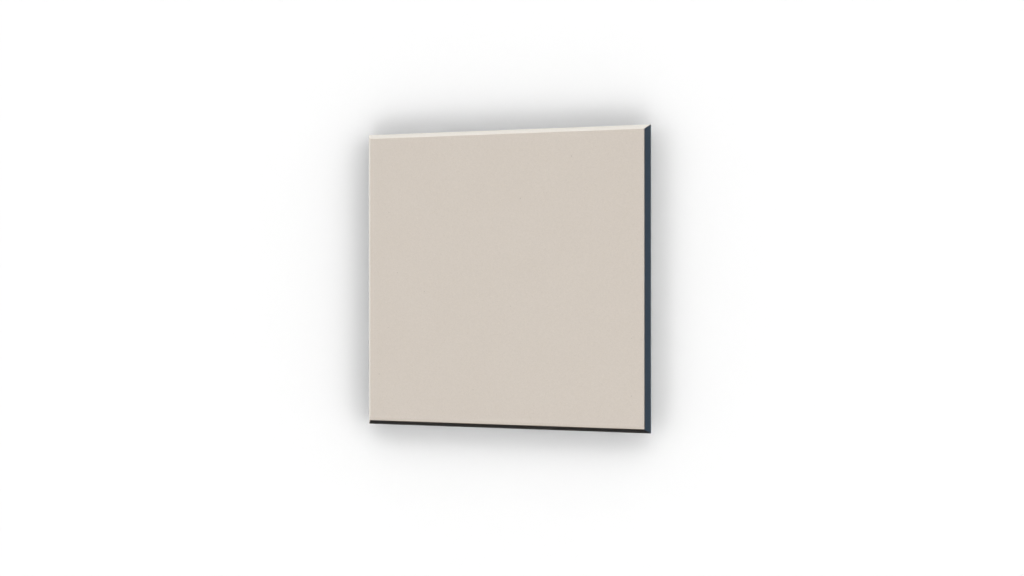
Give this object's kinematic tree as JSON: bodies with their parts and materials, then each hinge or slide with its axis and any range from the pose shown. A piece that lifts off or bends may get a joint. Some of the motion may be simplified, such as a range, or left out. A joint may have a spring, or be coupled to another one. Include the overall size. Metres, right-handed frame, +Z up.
{
  "type": "granite slab",
  "caption": "Thin square granite tooling slab with steep bevelled edges, lying flat on stick-on rubber feet: a hard, level base for stamping, carving and punching leather.",
  "frame": {"origin": "on the bench plane that the feet stand on, under the middle of the slab", "axes": "+Z up out of the working face; +X and +Y along the slab's sides, with the front edge at -Y and the right edge at +X"},
  "size_m": [0.305, 0.305, 0.0136],
  "materials": {
    "granite": "gloss",
    "rubber": "matte",
    "adhesive": "matte"
  },
  "bodies": {
    "root": {"granite_slab": "granite", "foot_front_left": "rubber", "foot_front_right": "rubber", "foot_back_left": "rubber", "foot_back_right": "rubber", "pad_front_left": "adhesive", "pad_front_right": "adhesive", "pad_back_left": "adhesive", "pad_back_right": "adhesive"}
  },
  "joints": []
}
